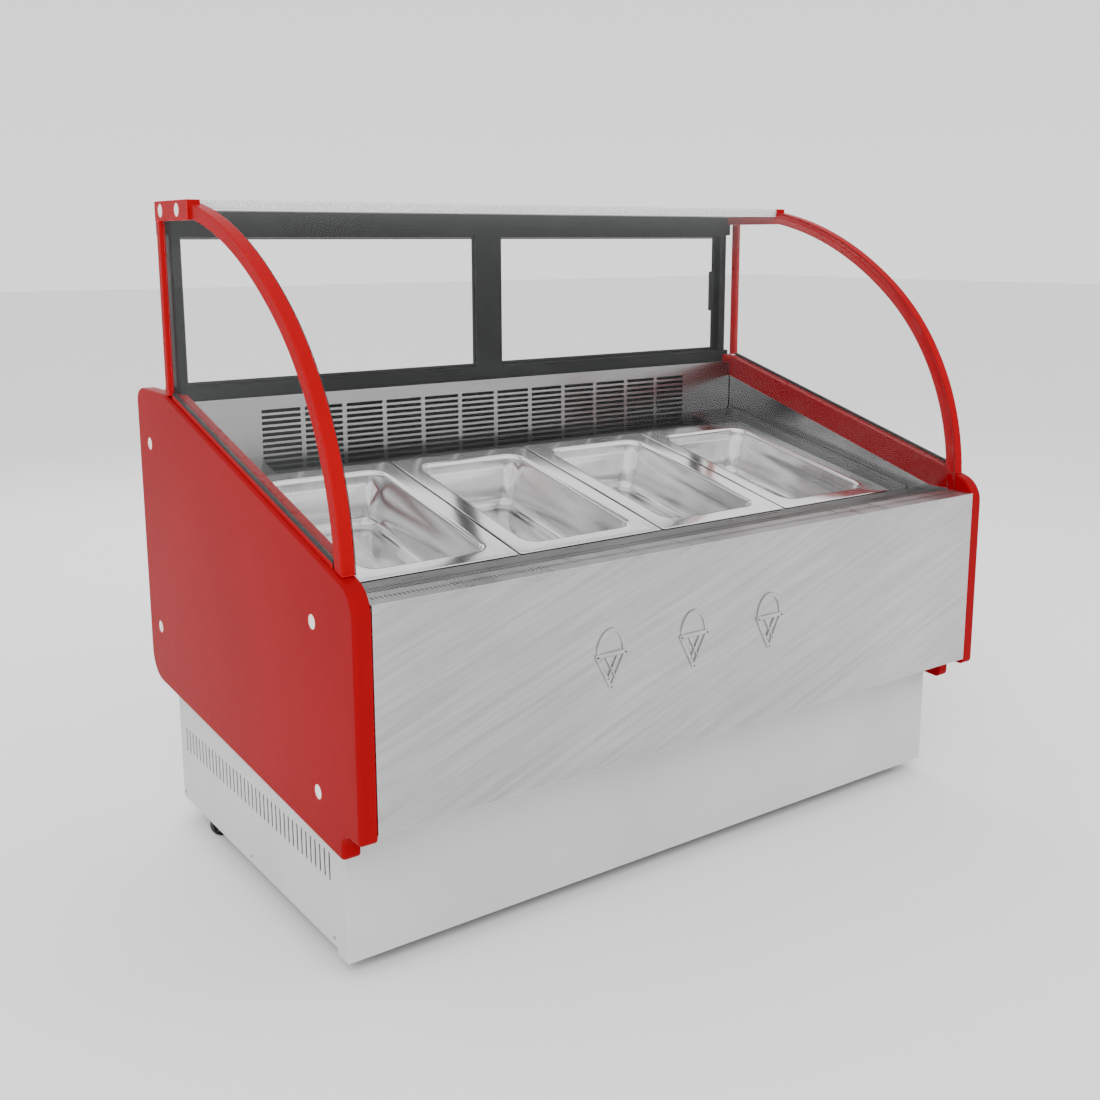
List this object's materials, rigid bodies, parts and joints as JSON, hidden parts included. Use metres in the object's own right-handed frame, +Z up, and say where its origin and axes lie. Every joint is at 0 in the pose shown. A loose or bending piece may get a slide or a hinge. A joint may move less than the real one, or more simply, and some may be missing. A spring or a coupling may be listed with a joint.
{
  "type": "ice cream dipping cabinet",
  "caption": "Chest-height ice cream dipping cabinet: red side panels, brushed steel front, sloping deck of lift-out pans under curved glass, sliding rear doors, castors.",
  "frame": {"origin": "centre of the footprint on the floor", "axes": "+X along the counter to the customer's right hand seen from the front, +Y from the customer side to the staff side, +Z up"},
  "size_m": [1.5, 0.957, 1.274],
  "materials": {
    "red_gloss": "smooth gloss red moulding",
    "red_paint": "gloss red powder coat",
    "white_plastic": "gloss white",
    "brushed_steel": "brushed",
    "polished_steel": "bright annealed",
    "galvanised": "galvanised",
    "foam": "rigid foam",
    "black_trim": "satin black",
    "black_rubber": "matt",
    "clear_glass": "clear polished",
    "shelf_board": "pale speckled",
    "grey_paint": "satin powder coat",
    "dark_steel": "satin black paint",
    "aluminium_fins": "mill",
    "copper_pipe": "drawn copper",
    "grey_plastic": "moulded"
  },
  "bodies": {
    "cabinet": {"air_return_grille": "dark_steel", "arch_left": "red_paint", "arch_right": "red_paint", "base_frame": "dark_steel", "base_rear_louvre": "grey_paint", "base_skirt_front": "grey_paint", "base_skirt_left": "grey_paint", "base_skirt_right": "grey_paint", "body_shell": "galvanised", "bracket_caps": "white_plastic", "cable_gland": "black_trim", "castor_plates": "galvanised", "compressor": "dark_steel", "condenser_coil": "aluminium_fins", "control_box": "grey_plastic", "deck_frame": "polished_steel", "door_frame": "black_trim", "drain_pipe": "grey_plastic", "evaporator_coil": "aluminium_fins", "evaporator_fan_motor": "black_trim", "fan_shroud": "dark_steel", "front_glass": "clear_glass", "front_panel": "brushed_steel", "glass_gaskets": "black_rubber", "glass_sill_left": "red_paint", "glass_sill_right": "red_paint", "insulation": "foam", "liner_tub": "polished_steel", "panel_caps": "white_plastic", "rear_post_left": "red_paint", "rear_post_right": "red_paint", "rear_wall_grille": "polished_steel", "refrigerant_pipes": "copper_pipe", "side_glass_left": "clear_glass", "side_glass_right": "clear_glass", "side_panel_left": "red_gloss", "side_panel_right": "red_gloss", "top_bracket_left": "red_paint", "top_bracket_right": "red_paint", "top_shelf": "shelf_board"},
    "door_left": {"door_sash_left": "black_trim", "door_glass_left": "clear_glass"},
    "door_right": {"door_sash_right": "black_trim", "door_glass_right": "clear_glass"},
    "pan_body_1": {"pan_1": "polished_steel"},
    "pan_body_2": {"pan_2": "polished_steel"},
    "pan_body_3": {"pan_3": "polished_steel"},
    "pan_body_4": {"pan_4": "polished_steel"},
    "castor_front_left": {"castor_fork_front_left": "galvanised"},
    "wheel_front_left": {"castor_wheel_front_left": "black_rubber"},
    "castor_front_right": {"castor_fork_front_right": "galvanised"},
    "wheel_front_right": {"castor_wheel_front_right": "black_rubber"},
    "castor_rear_left": {"castor_fork_rear_left": "galvanised"},
    "wheel_rear_left": {"castor_wheel_rear_left": "black_rubber"},
    "castor_rear_right": {"castor_fork_rear_right": "galvanised"},
    "wheel_rear_right": {"castor_wheel_rear_right": "black_rubber"},
    "condenser_fan_body": {"condenser_fan": "black_trim"},
    "evaporator_fan_body": {"evaporator_fan": "black_trim"},
    "knob": {"thermostat_knob": "black_trim"},
    "rocker": {"power_switch": "black_trim"}
  },
  "joints": [
    {"name": "door_left_slide", "type": "slide", "parent": "cabinet", "child": "door_left", "axis": [1, 0, 0], "range_m": [0, 0.64]},
    {"name": "door_right_slide", "type": "slide", "parent": "cabinet", "child": "door_right", "axis": [-1, 0, 0], "range_m": [0, 0.64]},
    {"name": "pan_1_lift", "type": "slide", "parent": "cabinet", "child": "pan_body_1", "axis": [0, -0.2027, 0.9792], "range_m": [0, 0.15]},
    {"name": "pan_2_lift", "type": "slide", "parent": "cabinet", "child": "pan_body_2", "axis": [0, -0.2027, 0.9792], "range_m": [0, 0.15]},
    {"name": "pan_3_lift", "type": "slide", "parent": "cabinet", "child": "pan_body_3", "axis": [0, -0.2027, 0.9792], "range_m": [0, 0.15]},
    {"name": "pan_4_lift", "type": "slide", "parent": "cabinet", "child": "pan_body_4", "axis": [0, -0.2027, 0.9792], "range_m": [0, 0.15]},
    {"name": "castor_front_left_swivel", "type": "hinge", "parent": "cabinet", "child": "castor_front_left", "pos_m": [-0.682, -0.3085, 0.066], "axis": [0, 0, 1], "continuous": true},
    {"name": "wheel_front_left_roll", "type": "hinge", "parent": "castor_front_left", "child": "wheel_front_left", "pos_m": [-0.682, -0.2925, 0.025], "axis": [1, 0, 0], "continuous": true},
    {"name": "castor_front_right_swivel", "type": "hinge", "parent": "cabinet", "child": "castor_front_right", "pos_m": [0.682, -0.3085, 0.066], "axis": [0, 0, 1], "continuous": true},
    {"name": "wheel_front_right_roll", "type": "hinge", "parent": "castor_front_right", "child": "wheel_front_right", "pos_m": [0.682, -0.2925, 0.025], "axis": [1, 0, 0], "continuous": true},
    {"name": "castor_rear_left_swivel", "type": "hinge", "parent": "cabinet", "child": "castor_rear_left", "pos_m": [-0.682, 0.2565, 0.066], "axis": [0, 0, 1], "continuous": true},
    {"name": "wheel_rear_left_roll", "type": "hinge", "parent": "castor_rear_left", "child": "wheel_rear_left", "pos_m": [-0.698, 0.2565, 0.025], "axis": [0, 1, 0], "continuous": true},
    {"name": "castor_rear_right_swivel", "type": "hinge", "parent": "cabinet", "child": "castor_rear_right", "pos_m": [0.682, 0.2565, 0.066], "axis": [0, 0, 1], "continuous": true},
    {"name": "wheel_rear_right_roll", "type": "hinge", "parent": "castor_rear_right", "child": "wheel_rear_right", "pos_m": [0.698, 0.2565, 0.025], "axis": [0, 1, 0], "continuous": true},
    {"name": "condenser_fan_spin", "type": "hinge", "parent": "cabinet", "child": "condenser_fan_body", "pos_m": [0.22, 0.1675, 0.196], "axis": [0, 1, 0], "continuous": true},
    {"name": "evaporator_fan_spin", "type": "hinge", "parent": "cabinet", "child": "evaporator_fan_body", "pos_m": [0, 0.3375, 0.806], "axis": [0, 1, 0], "continuous": true},
    {"name": "thermostat_turn", "type": "hinge", "parent": "cabinet", "child": "knob", "pos_m": [0.515, 0.4435, 0.166], "axis": [0, 1, 0], "range_deg": [0, 270]},
    {"name": "switch_rock", "type": "hinge", "parent": "cabinet", "child": "rocker", "pos_m": [0.595, 0.4325, 0.166], "axis": [1, 0, 0], "range_deg": [0, 16]}
  ]
}
